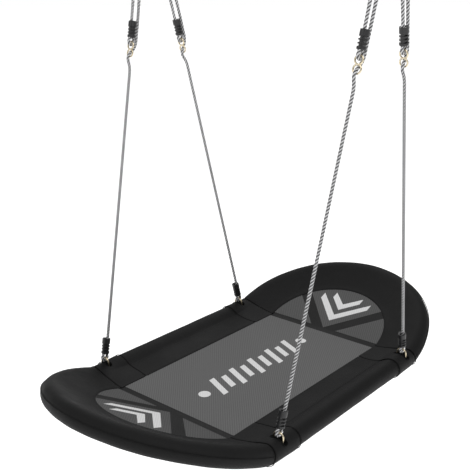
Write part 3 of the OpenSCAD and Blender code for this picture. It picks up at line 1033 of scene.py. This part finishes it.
@dataclass
class Seams:
    """Piped seams, crease seams and rows of stitches on the covers."""

    finishes: Finishes
    piping: float = 1.1
    stitch_l: float = 4.5
    stitch_gap: float = 3.5

    def add(self, name: str, path: Sequence[Point], radius: float) -> None:
        """Adds a piped seam along a path."""
        piece = tube(name, path, radius)
        dress(piece, self.finishes.seam)
        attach(piece, "seat")

    def corner_seams(self, end: End, side: Side) -> None:
        """The seams at both edges of a corner cover, over the top from the mat to the underside."""
        name = corner_name(end, side)
        section = swell(SIDE_SECTION, 2.5)[1:27]
        edge = [
            seat_point(end.value * (270.0 + 6.0 * math.exp(-(((d + 126) / 20.0) ** 2))),
                       side.value * (RIM_R + d), z)
            for d, z in section
        ]
        self.add(f"seam_inner_{name}", edge, self.piping)
        fold = [
            seat_point(end.value * (FOLD_X - z * math.tan(TILT / 2)), side.value * (RIM_R + d), z)
            for d, z in swell(END_SECTION, 0.9)[1:27]
        ]
        self.add(f"seam_fold_{name}", fold, self.piping)

    def rim_line(self, end: End, d: float, z: float) -> list[Point]:
        """A line that follows a round end at one place of its section."""
        r = RIM_R + d
        return [
            end_point(end, ARC_X + r * math.sin(math.pi * i / 90), r * math.cos(math.pi * i / 90), z)
            for i in range(91)
        ]

    def side_line(self, side: Side, d: float, z: float, half: float) -> list[Point]:
        """A line that follows a long side at one place of its section."""
        return [seat_point(-half + 2 * half * i / 40, side.value * (RIM_R + d), z) for i in range(41)]

    def stitches(self, name: str, path: Sequence[Point], lift: float) -> None:
        """A row of short raised stitches along a path.

        Args:
            name: name of the piece.
            path: points in the row frame, along the row.
            lift: height of a stitch in millimetres.
        """
        points = [Vector(p) for p in path]
        verts: list[Point] = []
        faces: list[Face] = []
        pitch = (self.stitch_l + self.stitch_gap) * MM
        wait = 0.0
        up = Vector((0.0, 0.0, 1.0))
        for a, b in zip(points, points[1:]):
            span = (b - a).length
            ahead = (b - a) / span
            across = ahead.cross(up).normalized() * 0.5 * MM
            at = wait
            while at < span:
                start = a + ahead * at
                stop = start + ahead * self.stitch_l * MM
                base = len(verts)
                for p in (start, stop):
                    verts += [tuple(p - across), tuple(p + across)]
                middle = (start + stop) / 2 + up * lift * MM
                verts += [tuple(middle - across * 0.8), tuple(middle + across * 0.8)]
                faces += [
                    (base, base + 1, base + 5, base + 4), (base + 4, base + 5, base + 3, base + 2),
                    (base, base + 4, base + 2), (base + 1, base + 3, base + 5),
                    (base, base + 2, base + 3, base + 1),
                ]
                at += pitch
            wait = at - span
        piece = mesh_piece(name, verts, faces, smooth=False)
        dress(piece, self.finishes.corner)
        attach(piece, "seat")

    def build(self) -> None:
        """Makes every seam."""
        for end, side in CORNERS:
            self.corner_seams(end, side)
        for end in End:
            word = end.name.lower()
            self.add(f"seam_low_{word}", self.rim_line(end, 30.3, 5.5), self.piping)
            self.stitches(f"stitch_hem_{word}", self.rim_line(end, -120.5, 2.9), 0.5)
        for side in Side:
            word = side.name.lower()
            self.add(f"seam_foot_{word}", self.side_line(side, -42.0, 12.6, 268.0), 0.8)
            self.stitches(f"stitch_hem_{word}", self.side_line(side, -120.5, 2.9, 266.0), 0.5)
            self.stitches(f"stitch_foot_{word}", self.side_line(side, -48.0, 11.7, 266.0), 0.5)
        LOG.info("seams and stitches made")


# ---------------------------------------------------------------- mat


@dataclass
class WovenMat:
    """The woven mat with its printed fields, chevrons and bars."""

    finishes: Finishes
    edge: float = 228.0
    cell: float = 12.0
    print_lift: float = 0.25
    rect_half: float = 365.0

    def spot(self, u: float, y: float, lift: float) -> Point:
        """A point on the mat.

        Args:
            u: distance from the middle along the mat's surface.
            y: distance from the centre line.
            lift: height above the surface.

        Returns:
            The point in the row frame.
        """
        if abs(u) <= FOLD_X:
            return seat_point(u, y, lift)
        end = End.RIGHT if u > 0 else End.LEFT
        return end_point(end, abs(u) - FOLD_X, y, lift)

    def half_width(self, u: float, edge: float) -> float:
        """Half the mat's width at a distance along it."""
        s = abs(u) - FOLD_X - ARC_X
        return edge if s <= 0 else math.sqrt(max(edge * edge - s * s, 0.0))

    def cloth(self) -> bpy.types.Object:
        """The sheet itself, as rows of strips that follow its outline."""
        far = FOLD_X + ARC_X + self.edge
        rows = [-far + 0.6]
        while rows[-1] < far - 0.7:
            u = rows[-1]
            narrow = abs(u) > far - 30
            step = 3.0 if narrow else self.cell
            nxt = u + step
            for stop in (-FOLD_X, FOLD_X):
                if u < stop < nxt:
                    nxt = stop
            rows.append(min(nxt, far - 0.6))
        count = 36
        verts, faces = [], []
        area = 0.0
        for i, u in enumerate(rows):
            w = self.half_width(u, self.edge)
            if i:
                area += (rows[i] - rows[i - 1]) * (w + self.half_width(rows[i - 1], self.edge))
            verts += [self.spot(u, -w + 2 * w * k / count, -1.0) for k in range(count + 1)]
        for i in range(len(rows) - 1):
            for k in range(count):
                a = i * (count + 1) + k
                faces.append((a, a + 1, a + count + 2, a + count + 1))
        sheet = mesh_piece("seat_mat", verts, faces)
        apply_modifier(sheet, "SOLIDIFY", "thickness", thickness=1.6 * MM, offset=0.0)
        dress(sheet, self.finishes.mat_black)
        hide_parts("woven_mat", "border_panel")
        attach(sheet, "seat")
        self.flat = (2 * self.edge * MM, 2 * far * MM)
        self.area = area * MM * MM
        return sheet

    def field(self, name: str, outline: Sequence[tuple[float, float]], lift: float,
              material: bpy.types.Material) -> bpy.types.Object:
        """A printed field: a thin skin on the mat inside an outline.

        Args:
            name: name of the piece.
            outline: its corners, as distance along and across the mat.
            lift: its height above the mat.
            material: the print's finish.

        Returns:
            The piece.
        """
        verts = [self.spot(u, y, lift) for u, y in outline]
        piece = mesh_piece(name, verts, [tuple(range(len(verts)))], smooth=False)
        apply_modifier(piece, "SOLIDIFY", "thickness", thickness=0.12 * MM, offset=0.0)
        dress(piece, material)
        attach(piece, "seat")
        return piece

    def arc(self, start: float, stop: float, radius: float) -> list[tuple[float, float]]:
        """Points of the inner border's round edge between two values of y, measured from the fold."""
        a, b = math.asin(start / radius), math.asin(stop / radius)
        return [
            (ARC_X + radius * math.cos(a + (b - a) * i / 24), radius * math.sin(a + (b - a) * i / 24))
            for i in range(25)
        ]

    def end_prints(self, end: End) -> list[bpy.types.Object]:
        """The three dark fields and two chevrons of one end."""
        word = end.name.lower()
        r = MAT_HALF + 1.5
        shapes = {
            "wedge": ([(11.0, 0.0)] + self.arc(-152.0, 152.0, r), self.finishes.mat_end, 1),
            "field_front": (
                [(11.0, -51.0), (11.0, -r)] + self.arc(-r + 0.1, -178.0, r), self.finishes.mat_end, 1
            ),
            "field_back": ([(11.0, 51.0), (11.0, r)] + self.arc(r - 0.1, 178.0, r), self.finishes.mat_end, 1),
            "chevron_big": ([(52, 0), (152, 100), (182, 100), (86, 0), (182, -100), (152, -100)],
                            self.finishes.white, 2),
            "chevron_small": ([(115, 0), (171, 57), (200, 57), (148, 0), (200, -57), (171, -57)],
                              self.finishes.white, 2),
        }
        made = []
        for name, (outline, material, layer) in shapes.items():
            places = [(end.value * (FOLD_X + s), y) for s, y in outline]
            made.append(self.field(f"print_{name}_{word}", places, self.print_lift * layer, material))
        return made

    def bars(self) -> list[bpy.types.Object]:
        """A plain row of parallel slanted bars, long and short in turn, with a dot at each end."""
        made = []
        for i in range(9):
            u = -178.0 + i * 46.0
            high = 48.0 if i % 2 == 0 else 34.0
            lean, wide = 0.42 * high, 11.0
            outline = [(u - wide - lean, -high), (u + wide - lean, -high), (u + wide + lean, high),
                       (u - wide + lean, high)]
            made.append(self.field(f"print_bar_{i + 1}", outline, self.print_lift * 2, self.finishes.white))
        dot_r = 19.0
        for word, u in (("left", -243.0), ("right", 254.0)):
            turns = [math.radians(10 * i) for i in range(36)]
            outline = [(u + dot_r * math.cos(a), dot_r * math.sin(a)) for a in turns]
            made.append(self.field(f"print_dot_{word}", outline, self.print_lift * 2, self.finishes.white))
        return made

    def build(self) -> None:
        """Makes the mat and its print."""
        sheet = self.cloth()
        half = self.rect_half
        wide = MAT_HALF + 3
        middle = self.field("print_middle", [(-half, -wide), (half, -wide), (half, wide), (-half, wide)],
                            self.print_lift, self.finishes.mat_grey)
        prints = [middle, *self.bars()]
        for end in End:
            prints += self.end_prints(end)
        LOG.info("mat made, %.3f by %.3f m", *self.flat)


# ---------------------------------------------------------------- CAD nodes that stay


@dataclass
class Hardware:
    """The CAD pieces that keep their shape and get a finish."""

    finishes: Finishes

    def build(self) -> None:
        """Dresses each CAD node by its name."""
        table: dict[str, bpy.types.Material] = {
            "link_": self.finishes.yellow_zinc,
            "adjuster_": self.finishes.yellow_zinc,
            "hanging_ring": self.finishes.yellow_zinc,
            "snap_hook": self.finishes.bright_zinc,
            "gate_": self.finishes.bright_zinc,
            "lower_thimble": self.finishes.bright_zinc,
            "upper_thimble": self.finishes.bright_zinc,
            "lower_sleeve": self.finishes.plastic,
            "upper_sleeve": self.finishes.plastic,
            "side_tube": self.finishes.frame_steel,
            "end_tube": self.finishes.frame_steel,
            "tube_joiners": self.finishes.frame_steel,
            "joint_": self.finishes.bright_zinc,
            "foam_": self.finishes.foam,
        }
        for obj in list(bpy.data.objects):
            for start, material in table.items():
                if obj.type == "MESH" and obj.name.startswith(start):
                    dress(obj, material)
        LOG.info("hardware dressed")


def main() -> None:
    """Builds the swing, piece by piece."""
    logging.basicConfig(level=logging.INFO, format="%(message)s")
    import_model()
    finishes = Finishes.make()
    studio = Studio()
    studio.camera()
    for end, side in CORNERS:
        Rope(Leg(end, side)).build(finishes)
    studio.room(finishes)
    PaddedRim(finishes).build()
    Seams(finishes).build()
    WovenMat(finishes).build()
    Hardware(finishes).build()


if __name__ == "__main__":
    main()
